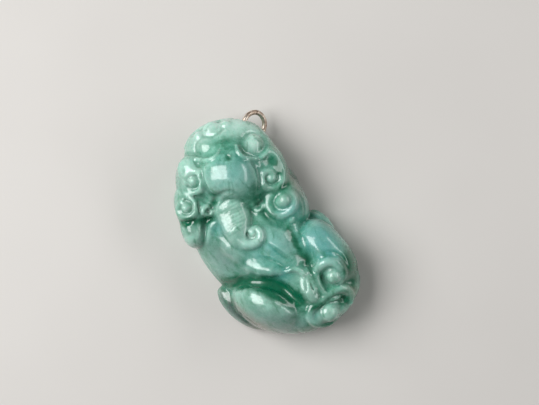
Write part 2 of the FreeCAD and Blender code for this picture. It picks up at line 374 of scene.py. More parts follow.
def carve_left_mane(top):
    """The curls down the beast's left cheek."""
    # Upper spiral.
    top.ridge(
        [
            (-10.2, 12.9), (-9.4, 11.9), (-8.2, 11.3), (-6.9, 11.1), (-5.6, 11.6), (-5.0, 12.8),
            (-5.3, 14.1), (-6.4, 14.8), (-7.6, 14.5), (-8.1, 13.5),
        ],
        [0.5, 0.9, 1.2, 1.5, 1.6, 1.6, 1.5, 1.3, 1.1, 0.8], lift=-0.15,
    )
    top.groove(spiral((-6.7, 13.0), 1.45, 0.85, 195, 290), [0.6, 0.6, 0.35], lift=0.05, blend=0.2)
    top.bead(-6.75, 13.05, 0.8, lift=-0.25)
    # Lower spiral.
    top.ridge(
        [
            (-9.9, 12.1), (-9.0, 11.2), (-8.4, 10.1), (-8.4, 9.0), (-9.0, 8.0), (-10.2, 7.7), (-11.4, 8.3),
            (-11.7, 9.5), (-11.1, 10.5), (-10.1, 10.7),
        ],
        [0.4, 0.8, 1.2, 1.4, 1.5, 1.5, 1.3, 1.2, 1.0, 0.7], lift=-0.15,
    )
    top.groove(spiral((-10.1, 9.35), 1.4, 0.8, 80, -290), [0.6, 0.6, 0.35], lift=0.05, blend=0.2)
    top.bead(-10.1, 9.4, 0.75, lift=-0.2)
    # The valley between the spirals, the horn and the small curl.
    top.groove([(-7.6, 10.4), (-6.6, 9.4), (-6.0, 8.5)], [0.6, 1.0, 0.8], lift=0.2)
    top.groove([(-8.3, 7.6), (-7.9, 8.8), (-7.4, 9.6)], [0.4, 0.6, 0.3])
    top.groove([(-5.9, 8.2), (-5.2, 7.7), (-4.6, 7.8)], [0.4, 0.9, 0.4], lift=0.0)
    top.ridge(spiral((-6.9, 7.1), 1.0, 0.75, 170, -330), [0.7, 0.9, 0.7], lift=0.25)
    # The leaf under the lower spiral, and the deep cuts beside it.
    top.groove([(-12.2, 7.5), (-11.0, 7.0), (-9.7, 6.8)], [0.5, 0.9, 0.4], lift=0.0)
    top.groove([(-8.8, 6.1), (-7.8, 5.8), (-6.6, 5.4)], [0.4, 0.9, 0.5], lift=0.0)
    top.ridge([(-9.0, 6.9), (-9.4, 5.8), (-10.0, 4.7), (-10.7, 3.6)], [0.3, 0.7, 0.6, 0.3])
    top.groove([(-9.6, 2.6), (-8.9, 3.8), (-8.4, 5.0), (-8.2, 5.8)], [0.3, 0.9, 0.8, 0.4])
    top.ridge(
        [(-9.7, 2.2), (-8.8, 3.3), (-7.9, 4.4), (-7.1, 5.0)],
        [0.3, 0.8, 0.7, 0.3], lift=-0.25, blend=0.5,
    )
    top.groove([(-9.0, 1.8), (-7.8, 3.1), (-6.6, 4.2)], [0.2, 0.7, 0.5])


def carve_right_mane(top):
    """The curls down the beast's right cheek and shoulder."""
    # A deep hollow inside the cheek's big C, whose band ends in a spiral.
    top.groove([(5.9, 10.4), (7.0, 10.1), (7.6, 8.7), (7.5, 7.2)], [1.4, 2.8, 1.8, 0.7], lift=1.0, blend=0.8)
    top.ridge(
        [
            (4.6, 11.6), (6.0, 11.5), (7.4, 11.9), (8.3, 11.2), (8.7, 9.9), (8.7, 8.3), (8.2, 6.8),
            (7.1, 5.6), (5.6, 5.2), (4.4, 6.0), (4.0, 7.3), (4.6, 8.4), (5.7, 8.6), (6.4, 7.8), (6.0, 7.0),
        ],
        [0.7, 1.2, 1.1, 0.9, 0.8, 0.9, 1.1, 1.4, 1.6, 1.5, 1.4, 1.3, 1.1, 0.9, 0.8], lift=-0.2,
    )
    top.groove(
        [(7.2, 7.2), (6.7, 6.4), (5.7, 6.1), (5.0, 6.6), (4.8, 7.4), (5.3, 7.9)],
        [0.8, 0.6, 0.5, 0.5, 0.4, 0.25], lift=0.0, blend=0.2,
    )
    top.bead(5.75, 7.25, 0.75, lift=-0.3)
    # Shoulder spiral, with a dark slot before its heart.
    top.groove(
        [(4.8, 4.9), (3.0, 5.3), (1.9, 4.0), (1.9, 2.2), (2.6, 0.4), (3.9, -1.2)],
        [0.3, 0.8, 1.3, 1.6, 1.6, 1.2], lift=0.35, blend=0.6,
    )
    top.groove(
        [(5.3, 4.1), (4.3, 3.6), (4.1, 2.6), (4.5, 1.7), (5.4, 1.3)],
        [0.6, 0.9, 0.9, 0.8, 0.5], lift=0.1,
    )
    top.ridge(
        [
            (5.2, 4.9), (4.0, 4.8), (3.2, 3.9), (3.0, 2.7), (3.3, 1.4), (4.3, 0.5), (5.7, 0.3), (7.0, 0.8),
            (7.8, 1.9), (7.8, 3.1), (7.0, 4.0),
        ],
        [0.6, 1.0, 1.3, 1.4, 1.4, 1.4, 1.4, 1.5, 1.4, 1.1, 0.6], lift=-0.35,
    )
    top.bead(6.1, 2.7, 1.35, lift=-0.65)
    top.bead(5.6, -0.9, 0.7, lift=-0.35)
    # The small curl at the root of the mane, in its valley.
    top.ridge(spiral((1.5, 3.9), 1.0, 0.7, 60, 300), [0.8, 0.7], lift=-0.15)
    # Hair lines on the outer edge of the shoulder.
    top.groove([(8.5, 3.9), (9.0, 2.2), (8.8, 0.2), (7.9, -1.6)], [0.2, 0.5, 0.2], lift=0.1)
    top.groove([(9.5, 6.2), (9.8, 4.2), (9.6, 2.2)], [0.2, 0.5, 0.2], lift=0.1)


def carve_horn(clay, top):
    """The ribbed horn lying back along the neck, and its curled tip."""
    top.ridge(
        [
            (-3.0, 5.9), (-3.05, 5.0), (-3.2, 3.9), (-3.6, 2.5), (-4.0, 1.1), (-4.1, -0.2), (-3.3, -1.3),
            (-2.0, -1.8),
        ],
        [5.5, 6.1, 5.8, 5.0, 3.9, 2.9, 2.1, 1.4], lift=-0.25, flat=1.6,
    )
    top.ridge(
        [(-4.1, -0.2), (-3.3, -1.3), (-2.1, -1.8), (-0.9, -1.5), (-0.3, -0.5), (-0.6, 0.4), (-1.3, 0.6)],
        [1.6, 1.8, 1.7, 1.6, 1.5, 1.4, 1.2], lift=0.1,
    )
    top.bead(-1.5, 0.2, 0.75, lift=0.1)
    top.groove([(-2.6, 0.6), (-2.4, -0.5), (-1.5, -0.8)], [0.6, 0.5, 0.2], lift=0.1, blend=0.2)
    ribs = Drawing(clay)
    for step in range(8):
        y = 7.3 - 0.62 * step
        bow = 1.3 - 0.1 * step
        ribs.groove(
            [(-5.5, y - bow), (-4.6, y - 0.3), (-3.2, y), (-2.2, y - 0.2), (-1.6, y - 0.4 * bow)],
            [0.2, 0.55, 0.55, 0.35, 0.1], lift=-0.02,
        )


def carve_body(top):
    """Spine lines, and the valleys that part the haunches from the trunk."""
    top.groove([(0.1, -2.8), (0.9, -4.6), (1.7, -6.2), (2.6, -7.6)], [0.2, 0.6, 0.55, 0.2], lift=0.1)
    top.groove([(-2.5, -4.2), (-1.1, -5.5), (0.1, -6.9), (1.0, -8.3)], [0.2, 0.6, 0.55, 0.2], lift=0.1)
    top.groove(
        [(-11.0, -6.0), (-9.0, -6.6), (-7.0, -7.4), (-4.6, -8.8), (-2.6, -10.4), (-1.0, -12.2), (0.2, -14.4)],
        [0.6, 1.4, 1.9, 2.2, 2.2, 2.0, 0.9], lift=0.45, blend=0.7,
    )
    top.groove(
        [(3.9, -1.4), (4.5, -3.2), (4.5, -5.4), (4.7, -7.4), (5.3, -9.0), (6.4, -9.8)],
        [1.2, 2.4, 3.2, 3.0, 1.9, 0.6], lift=1.15, blend=1.2,
    )
    # The edge where the back turns down into the left flank, and rises to the rump.
    top.ridge(
        [(-7.4, 1.0), (-6.6, -0.4), (-5.8, -2.2), (-5.0, -4.0)],
        [1.6, 3.0, 3.0, 2.0], lift=-1.15, blend=0.9,
    )
    crest = [(-5.2, -4.2, 8.1), (-4.3, -5.0, 8.6), (-3.0, -6.3, 9.25), (-1.6, -7.3, 9.85), (-0.4, -8.1, 10.2)]
    top.clay.stroke(crest, [0.9, 1.3, 1.3, 1.1, 0.6], blend=0.7)
    # Folds along the upper edge of the left haunch.
    top.ridge(
        [(-7.4, -8.0), (-5.2, -9.0), (-3.2, -10.7), (-1.6, -12.6), (-0.5, -14.6)],
        [0.3, 0.9, 1.1, 0.9, 0.4], lift=-0.6, blend=0.6,
    )
    top.groove(
        [(-5.3, -10.0), (-3.7, -11.6), (-2.4, -13.3), (-0.9, -15.6), (0.0, -17.0)],
        [0.3, 1.2, 1.4, 1.0, 0.3], lift=0.5, blend=0.6,
    )
    # The fold over the right haunch's hind edge.
    top.groove([(8.6, -8.6), (9.8, -9.4), (10.6, -10.8), (10.8, -12.6)], [0.3, 0.7, 0.8, 0.3], lift=0.15)


def carve_tail(top):
    """The tail: a flame up the back, and two rolled curls."""
    top.ridge([(0.7, -8.7), (1.8, -8.8), (2.8, -9.5), (3.2, -10.4)], [0.4, 0.8, 0.9, 0.9], lift=0.1)
    top.ridge(
        [(3.3, -9.7), (3.4, -10.8), (3.1, -12.2), (2.7, -13.6), (2.7, -14.6)],
        [1.1, 1.7, 2.6, 3.5, 3.2], lift=-0.4, flat=1.4,
    )
    top.groove([(3.4, -10.6), (2.7, -12.2), (1.9, -14.2)], [0.2, 0.45, 0.2], lift=0.4, blend=0.2)
    top.groove([(3.7, -11.2), (3.4, -12.8), (3.3, -14.8)], [0.2, 0.5, 0.2], lift=0.45, blend=0.2)
    top.ridge([(4.3, -9.8), (4.1, -11.2), (4.1, -12.8), (4.6, -14.4)], [0.3, 0.8, 0.8, 0.4], lift=-0.1)
    # First curl and its heart.
    top.groove(
        [(5.9, -14.2), (6.0, -12.6), (6.8, -11.7), (8.0, -11.6), (8.9, -12.3)],
        [0.7, 1.2, 1.2, 1.0, 0.5], lift=0.4, blend=0.5,
    )
    top.ridge(
        [
            (4.9, -15.6), (4.7, -14.2), (4.7, -12.7), (5.2, -11.4), (6.4, -10.5), (7.9, -10.4),
            (9.1, -11.2), (9.6, -12.5), (9.3, -13.9), (8.3, -14.6),
        ],
        [1.3, 1.4, 1.5, 1.7, 1.7, 1.7, 1.7, 1.6, 1.5, 1.2], lift=-0.1,
    )
    top.bead(7.8, -13.2, 1.4, lift=-0.4)
    # Second curl, rolled over the tip.
    top.groove([(2.2, -17.6), (4.6, -16.8), (6.4, -17.6), (6.6, -19.0)], [0.7, 0.8, 1.0, 0.8], lift=0.2)
    top.ridge(
        [
            (8.4, -19.0), (9.1, -17.6), (8.5, -16.2), (7.0, -15.6), (5.2, -15.9), (3.4, -16.3),
            (1.6, -16.7), (0.8, -17.9), (1.2, -19.3), (2.5, -20.2), (4.2, -20.3), (5.3, -19.5),
        ],
        [1.0, 1.4, 1.7, 1.6, 1.4, 1.4, 1.6, 1.7, 1.7, 1.6, 1.5, 1.2], lift=-0.1,
    )
    top.ridge([(4.4, -16.7), (5.8, -16.9), (7.1, -17.2)], [0.3, 0.6, 0.3], lift=0.15)
    top.bead(2.3, -18.3, 1.5, lift=-0.9, blend=0.6)
    top.bead(4.1, -18.6, 1.8, lift=-0.45)
    top.bead(7.6, -17.9, 0.75, lift=0.2, cut=True)


def carve_mouth(clay):
    """The open mouth at the front, with its lips and two rows of teeth."""
    front = Drawing(clay, 90)
    front.groove([(3.6, 3.6), (1.8, 3.2), (-1.0, 3.1), (-3.6, 3.4)], [0.4, 0.8, 0.4], lift=0.2)
    clay.mass((0.9, 20.4, 4.4), (4.7, 4.4, 0.75), -4, blend=0.2, cut=True)
    for step in range(8):
        across = 2.9 - 0.95 * step
        fang = step in (1, 6)
        front.bead(across, 4.95, 0.62 if fang else 0.48, lift=-1.0, blend=0.12)
        front.bead(across - 0.45, 3.85, 0.45, lift=-1.0, blend=0.12)
    # Nostrils, and the lip's rolled edge above the teeth.
    front.bead(1.5, 7.3, 0.55, lift=0.2, cut=True)
    front.bead(-2.1, 7.3, 0.55, lift=0.2, cut=True)
    front.ridge(
        [(5.6, 5.6), (3.6, 5.7), (1.4, 6.0), (-0.6, 6.1), (-2.6, 5.9), (-4.4, 5.7)],
        [0.4, 0.9, 0.9, 0.4], lift=-0.05,
    )


def carve_sides(clay):
    """Toes, thigh swirls and wisps of mane on the parts that face sideways."""
    # Each paw: the azimuth it is drawn from, where its toes part, and how high the partings go.
    paws = (
        (150, (-7.6, -6.2, -4.8), 2.6),
        (190, (5.0, 6.2, 7.4), 1.6),
        (-5, (-1.6, -2.7, -3.8), 2.8),
        (5, (9.0, 7.9, 6.8), 2.6),
    )
    for azimuth, places, height in paws:
        side = Drawing(clay, azimuth)
        for across in places:
            side.groove(
                [(across, 0.2), (across + 0.1, 1.4), (across + 0.4, height)],
                [0.8, 0.7, 0.2], lift=0.15,
            )
            side.bead(across + 0.6, 0.7, 0.45, lift=-0.35)
    # Thigh swirls, and long lines of hair ahead of them.
    left, right, back = Drawing(clay, 195), Drawing(clay, -8), Drawing(clay, 270)
    left.groove(spiral((10.6, 4.6), 3.0, 0.8, -60, 400), [0.3, 0.75, 0.6], lift=0.15)
    right.groove(spiral((-9.6, 4.4), 3.2, 0.8, 230, -400), [0.3, 0.75, 0.6], lift=0.15)
    for step in range(3):
        rise = 0.95 * step
        left.groove(
            [(-3.6, 2.9 + rise), (-1.2, 1.8 + rise), (1.8, 1.6 + rise), (4.6, 2.6 + rise)],
            [0.2, 0.6, 0.5, 0.2],
        )
        right.groove(
            [(4.2, 4.0 + rise), (2.4, 3.1 + rise), (0.2, 3.0 + rise), (-1.4, 3.9 + rise)],
            [0.2, 0.6, 0.5, 0.2],
        )
    # Hair swept back along the jaw, and the tail's hanging locks.
    jaw_left, jaw_right = Drawing(clay, 140), Drawing(clay, 20)
    for step in range(4):
        drop = 1.15 * step
        jaw_left.groove([(-9.0 + drop, 5.8), (-7.4 + drop, 4.9), (-6.2 + drop, 3.4)], [0.2, 0.7, 0.3])
        back.groove(
            [(-6.0 + 3.4 * step, 7.6), (-5.2 + 3.2 * step, 4.6), (-5.6 + 3.2 * step, 1.2)],
            [0.3, 0.8, 0.5],
        )
    jaw_right.groove([(12.0, 6.2), (10.4, 4.6), (8.6, 4.0), (7.0, 4.6)], [0.2, 0.7, 0.6, 0.2])


def carve_underside(clay):
    """The belly line and the folds of the legs, cut into the flat ground."""
    lines = (
        [(-0.4, 12.0), (-1.2, 6.0), (-1.4, 0.0), (-0.6, -6.0), (0.6, -12.0)],
        [(-7.4, 6.6), (-5.2, 8.6), (-4.6, 11.4), (-5.2, 14.2)],
        [(5.4, 0.8), (4.0, 3.4), (4.0, 6.6), (5.2, 9.0)],
        [(-6.0, -5.4), (-5.6, -8.6), (-4.4, -12.0), (-2.6, -15.4)],
        [(7.4, -1.2), (6.6, -4.0), (7.0, -7.4), (8.4, -10.0)],
    )
    for line in lines:
        smooth, radii = curve(line, [0.5, 1.3, 1.3, 0.5])
        height = np.full(len(smooth), -0.05)
        clay.stroke(np.column_stack([smooth, height]), radii, blend=0.3, cut=True)


def cut_ring_room(clay):
    """The bore through the lip, and the room that the ring needs each side of it to swing."""
    where, (x, y, z) = clay.window(bore_centre - RING_REACH, bore_centre + RING_REACH, SPARE)
    p = [x - bore_centre[0], y - bore_centre[1], z - bore_centre[2]]
    along = sum(p[i] * bore_axis[i] for i in range(3))
    out = sum(p[i] * ring_out[i] for i in range(3))
    down = np.cross(bore_axis, ring_out)
    below = sum(p[i] * down[i] for i in range(3))
    radius = np.sqrt(out**2 + below**2)
    # The fan that the ring sweeps, between one angle before its first limit and one past its last.
    first, last = (math.radians(angle) for angle in SWING_ROOM)
    before_first = out * math.sin(first) - below * math.cos(first)
    past_last = -out * math.sin(last) + below * math.cos(last)
    width = np.abs(along)
    sector = np.maximum(before_first, past_last)
    sweep = np.maximum(np.maximum(width - RING_ROOM_WIDTH / 2, radius - RING_REACH), sector)
    # The lug, with the bore through it, is all that stays between the two throats.
    throats = np.maximum(width - RING_ROOM_WIDTH / 2, radius - THROAT_RADIUS)
    lug = np.maximum(np.maximum(width - LUG_THICKNESS / 2, radius - LUG_RADIUS), BORE_RADIUS - radius)
    clay.apply(where, np.maximum(np.minimum(sweep, throats), -lug), BORE_EDGE, cut=True)


def carve(clay):
    """Cuts and lays every line, from the trunk to the mouth."""
    top = Drawing(clay)
    carve_body(top)
    carve_left_mane(top)
    carve_right_mane(top)
    carve_tail(top)
    carve_muzzle(top)
    carve_horn(clay, top)
    carve_sides(clay)
    carve_mouth(clay)


def mesh_of(clay, name):
    """The surface of the clay as a mesh object in metres."""
    grid = openvdb.FloatGrid(background=FAR)
    grid.copyFromArray(np.ascontiguousarray(clay.d, dtype=np.float32))
    points, quads = grid.convertToQuads(isovalue=0.0)
    mesh = bpy.data.meshes.new(name)
    mesh.from_pydata(((points * clay.step + clay.low) * MM).tolist(), [], quads.tolist())
    mesh.shade_smooth()
    piece = bpy.data.objects.new(name, mesh)
    bpy.context.scene.collection.objects.link(piece)
    return piece


def lighter(piece):
    """The piece with its flattest faces merged, down to about MOST_TRIANGLES."""
    modifier = piece.modifiers.new("merge", "DECIMATE")
    modifier.ratio = min(1, MOST_TRIANGLES / (2 * len(piece.data.polygons)))
    whole = piece.data
    piece.data = bpy.data.meshes.new_from_object(piece.evaluated_get(bpy.context.evaluated_depsgraph_get()))
    piece.modifiers.clear()
    bpy.data.meshes.remove(whole)
    return piece


def make_stone():
    """The finished, tinted stone as one mesh object."""
    clay = Clay(stone_low - SPARE, stone_high + SPARE, VOXEL)
    rough_out(clay)
    carve(clay)
    # The flat ground underneath.
    height = clay.axes[2].reshape(1, 1, -1).astype(np.float32)
    clay.d = smooth_cut(clay.d, np.broadcast_to(height, clay.d.shape), GROUND_EDGE)
    carve_underside(clay)
    cut_ring_room(clay)
    clay.soften()
    piece = lighter(mesh_of(clay, "carved_jade"))
    paint(piece, clay)
    return piece


# ---------------------------------------------------------------- colour and metal

BLUR_ROUNDS = 14  # how widely the surroundings of a point are averaged
FULLY_HOLLOW_SHADE, FULLY_PROUD_HIGHLIGHT = 0.06, 0.08  # depth under and height over the averaged surface that give the fullest painted shade and the fullest painted highlight

# Where each tint gathers, the stone's own and the painted shadow and reflection below: centre in plan, half-sizes,
# turn and strength.
EMERALD = [
    ((-10.9, 7.1), (1.5, 0.7), -15, 1.4),
    ((-7.8, 5.9), (1.4, 0.8), -10, 1.3),
    ((-5.2, 7.9), (0.8, 0.6), 0, 0.8),
    ((-11.6, 6.0), (0.7, 1.4), 0, 0.6),
    ((-2.6, -10.6), (4.4, 1.5), -45, 1.4),
    ((-0.8, -13.3), (2.8, 1.4), -55, 1.2),
    ((-7.9, -6.9), (3.4, 1.1), -25, 0.9),
    ((-4.4, -8.9), (2.0, 0.9), -35, 0.7),
    ((11.3, -13.4), (1.8, 3.2), -12, 1.3),
    ((12.0, -10.2), (0.8, 1.6), 0, 0.3),
    ((6.1, -12.6), (0.9, 1.9), 0, 0.3),
    ((7.3, 10.0), (1.8, 1.1), -20, 0.55),
    ((7.8, 8.0), (0.8, 1.6), 0, 0.35),
    ((6.9, 4.9), (2.2, 0.6), 0, 0.9),
    ((1.9, 5.4), (2.2, 1.7), 0, 0.55),
    ((2.3, 7.3), (0.9, 1.6), -30, 0.35),
    ((2.0, 1.2), (1.6, 2.8), 25, 0.7),
    ((4.4, -4.6), (0.9, 4.0), 0, 0.8),
    ((5.0, -9.0), (0.9, 1.6), 0, 0.7),
    ((3.6, 13.9), (0.7, 1.4), 0, 0.5),
    ((0.8, 13.9), (0.7, 0.8), 0, 0.7),
    ((1.2, 16.4), (1.8, 1.8), 0, 0.4),
    ((-9.0, -5.8), (2.0, 1.0), -30, 0.9),
    ((-4.4, 9.4), (1.6, 0.9), 0, 0.6),
    ((3.4, -16.6), (3.2, 0.7), 0, 0.8),
    ((7.6, -17.8), (1.2, 1.3), 0, 1.0),
    ((3.0, -20.9), (6.0, 1.2), 0, 0.7),
    ((4.4, -11.8), (0.5, 2.0), 0, 0.5),
]
PALE = [
    ((0.2, 20.4), (6.0, 2.2), 0, 0.85),
    ((4.4, 18.6), (3.4, 2.0), -30, 0.8),
    ((7.6, 15.6), (1.4, 2.4), 0, 0.5),
    ((-4.6, 17.9), (3.0, 1.8), 20, 0.35),
    ((-6.7, 15.2), (2.2, 1.6), 0, 0.45),
    ((-6.8, 12.8), (2.6, 2.2), 0, 0.6),
    ((-10.3, 9.4), (2.0, 2.2), 0, 0.6),
    ((-6.9, 7.3), (1.3, 1.2), 0, 0.5),
    ((-12.2, 4.4), (1.6, 1.8), 0, 0.45),
    ((-9.4, 4.2), (1.0, 1.4), 0, 0.4),
    ((5.6, 14.1), (1.6, 1.6), 0, 0.9),
    ((-0.8, 10.2), (3.4, 2.4), 0, 0.3),
    ((5.0, 7.6), (1.8, 1.8), 0, 0.35),
    ((-3.2, 4.8), (2.7, 4.2), 0, 0.7),
    ((-1.4, -0.8), (2.2, 1.6), 0, 0.8),
    ((-5.6, -10.8), (3.4, 2.0), -50, 0.4),
    ((2.8, -12.8), (1.4, 3.6), 0, 0.6),
    ((7.6, -13.2), (1.5, 1.4), 0, 0.8),
    ((7.0, -10.8), (3.4, 0.9), 0, 0.35),
    ((4.0, -18.9), (2.4, 2.0), 0, 0.6),
    ((6.1, 2.7), (1.6, 1.4), 0, 0.4),
]
BLUE = [
    ((8.4, -5.6), (3.4, 3.6), 10, 1.0),
    ((9.0, -9.4), (3.0, 3.6), 0, 0.6),
    ((0.0, 10.8), (4.4, 3.2), 0, 0.9),
    ((6.0, 0.7), (2.6, 1.4), 0, 0.9),
    ((-0.6, -3.4), (4.0, 3.6), 0, 0.75),
    ((-6.6, 3.6), (1.8, 1.4), 0, 0.9),
    ((-0.5, -9.0), (2.6, 2.0), 0, 0.6),
    ((1.4, -18.0), (1.4, 1.2), 0, 0.5),
]
CLOUDY = [
    ((-8.6, -1.6), (4.2, 6.0), 15, 1.0),
    ((-3.0, -17.4), (5.0, 3.0), -35, 0.9),
    ((2.6, -4.0), (1.6, 2.6), 0, 0.7),
    ((-7.8, -14.4), (2.6, 4.6), 35, 0.8),
    ((9.3, 3.0), (1.4, 3.6), 0, 0.9),
    ((-9.6, 14.4), (1.6, 2.4), -30, 0.6),
]
RIBS = [((-3.1 - 0.08 * step, 7.75 - 0.62 * step), (2.2, 0.17), 3, 0.9) for step in range(11)]
# Painted shadow: dark slate on the low hind paw and along the right edge, where shade falls.
SLATE_SHADOW = [
    ((-11.5, -9.4), (1.3, 3.0), 18, 1.0),
    ((-10.2, -13.2), (1.0, 2.6), 25, 0.9),
    ((9.7, 5.6), (0.8, 3.6), 0, 0.7),
]
# Painted reflection: warm brown dimming the rims and the low paw, as reflected from warm surroundings.
BROWN_RIM_REFLECTION = [
    ((-10.2, -12.0), (1.0, 4.6), 14, 0.8),
    ((-7.4, -17.4), (3.4, 1.2), -48, 0.8),
    ((-1.5, -20.2), (3.4, 1.0), -14, 0.6),
    ((9.3, 4.6), (1.0, 2.6), 0, 0.8),
    ((9.2, 12.2), (0.8, 1.8), 0, 0.7),
    ((-8.8, -15.0), (1.2, 2.6), 35, 0.8),
    ((9.6, -17.2), (1.2, 1.6), 20, 0.7),
    ((-11.4, -9.4), (1.2, 4.4), 18, 0.4),
]


def tint(points, patches):
    """How much of a tint each point has, from soft-edged patches in plan."""
    total = np.zeros(len(points))
    for (x, y), (across, along), turn, strength in patches:
        c, s = math.cos(math.radians(turn)), math.sin(math.radians(turn))
        u = ((points[:, 0] - x) * c + (points[:, 1] - y) * s) / across
        v = (-(points[:, 0] - x) * s + (points[:, 1] - y) * c) / along
        total += strength * np.exp(-(u * u + v * v))
    return np.clip(total, 0, 1)


def paint(piece, clay):
    """Stores the tints, and how hollow or proud the surface is, for the material to paint shade into the hollows
    and a highlight onto what stands proud.
    """
    mesh = piece.data
    points = np.zeros(len(mesh.vertices) * 3, np.float32)
    mesh.vertices.foreach_get("co", points)
    points = points.reshape(-1, 3) / MM
    blurred = clay.copy()
    blurred.soften(BLUR_ROUNDS)
    proud_for_painted_light = blurred.sample(points) - clay.sample(points)
    layers = {
        "emerald": tint(points, EMERALD),
        "pale": tint(points, PALE),
        "blue": tint(points, BLUE),
        "cloudy": tint(points, CLOUDY),
        "brown_rim_reflection": tint(points, BROWN_RIM_REFLECTION),
        "ribs": tint(points, RIBS),
        "slate_shadow": tint(points, SLATE_SHADOW),
        "hollow_shade": np.clip(-proud_for_painted_light / FULLY_HOLLOW_SHADE, 0, 1),
        "proud_for_painted_light": np.clip(proud_for_painted_light / FULLY_PROUD_HIGHLIGHT, 0, 1),
    }
    for name, values in layers.items():
        layer = mesh.attributes.new(name, "FLOAT", "POINT")
        layer.data.foreach_set("value", values.astype(np.float32))


class Nodes:
    """A material's node tree, with short calls that add a node and link its inputs."""

    def __init__(self, name):
        self.material = bpy.data.materials.new(name)
        self.material.use_nodes = True
        self.tree = self.material.node_tree
        self.shader = self.tree.nodes["Principled BSDF"]

    def feed(self, socket, value):
        """Links a socket to a node's output, or sets its value."""
        if isinstance(value, bpy.types.NodeSocket):
            self.tree.links.new(value, socket)
        else:
            socket.default_value = value

    def node(self, kind, settings=None, **inputs):
        """A new node, with its settings and inputs. An underscore in an input's name stands for a space."""
        made = self.tree.nodes.new(kind)
        for name, value in (settings or {}).items():
            setattr(made, name, value)
        for name, value in inputs.items():
            self.feed(made.inputs[name.replace("_", " ")], value)
        return made

    def place(self):
        """Where a point of the surface is on the object."""
        return self.node("ShaderNodeTexCoord").outputs["Object"]

    def layer(self, name):
        """How much of a tint is stored at a point of the surface."""
        return self.node("ShaderNodeAttribute", {"attribute_name": name}).outputs["Fac"]

    def noise(self, size, detail=3.0, rough=0.5, distortion=0.0, offset=0.0, stretch=(1, 1, 1)):
        """Noise of about a size in millimetres, from 0 to 1."""
        spread = [v / (size * MM) for v in stretch]
        place = self.node("ShaderNodeMapping", Vector=self.place(), Scale=spread, Location=(offset,) * 3)
        made = self.node(
            "ShaderNodeTexNoise", Vector=place.outputs[0], Scale=1.0, Detail=detail, Roughness=rough,
            Distortion=distortion,
        )
        return made.outputs["Fac"]

    def span(self, value, low, high, out_low=0.0, out_high=1.0):
        """Maps low..high of a value to out_low..out_high, smoothly and clamped."""
        made = self.node("ShaderNodeMapRange", {"interpolation_type": "SMOOTHSTEP"}, Value=value)
        limits = {"From Min": low, "From Max": high, "To Min": out_low, "To Max": out_high}
        for name, number in limits.items():
            made.inputs[name].default_value = number
        return made.outputs[0]

    def combine(self, operation, a, b):
        """Adds or multiplies two values."""
        made = self.tree.nodes.new("ShaderNodeMath")
        made.operation = operation
        self.feed(made.inputs[0], a)
        self.feed(made.inputs[1], b)
        return made.outputs[0]

    def mix(self, share, a, b):
        """Colour a, with a share of colour b over it."""
        made = self.tree.nodes.new("ShaderNodeMix")
        made.data_type = "RGBA"
        self.feed(made.inputs["Factor"], share)
        self.feed(made.inputs["A"], a)
        self.feed(made.inputs["B"], b)
        return made.outputs["Result"]


def linear(red, green, blue):
    """A shader colour from sRGB values of 0 to 255."""
    shown = (v / 255 for v in (red, green, blue))
    return tuple(((v + 0.055) / 1.055) ** 2.4 if v > 0.04045 else v / 12.92 for v in shown) + (1,)


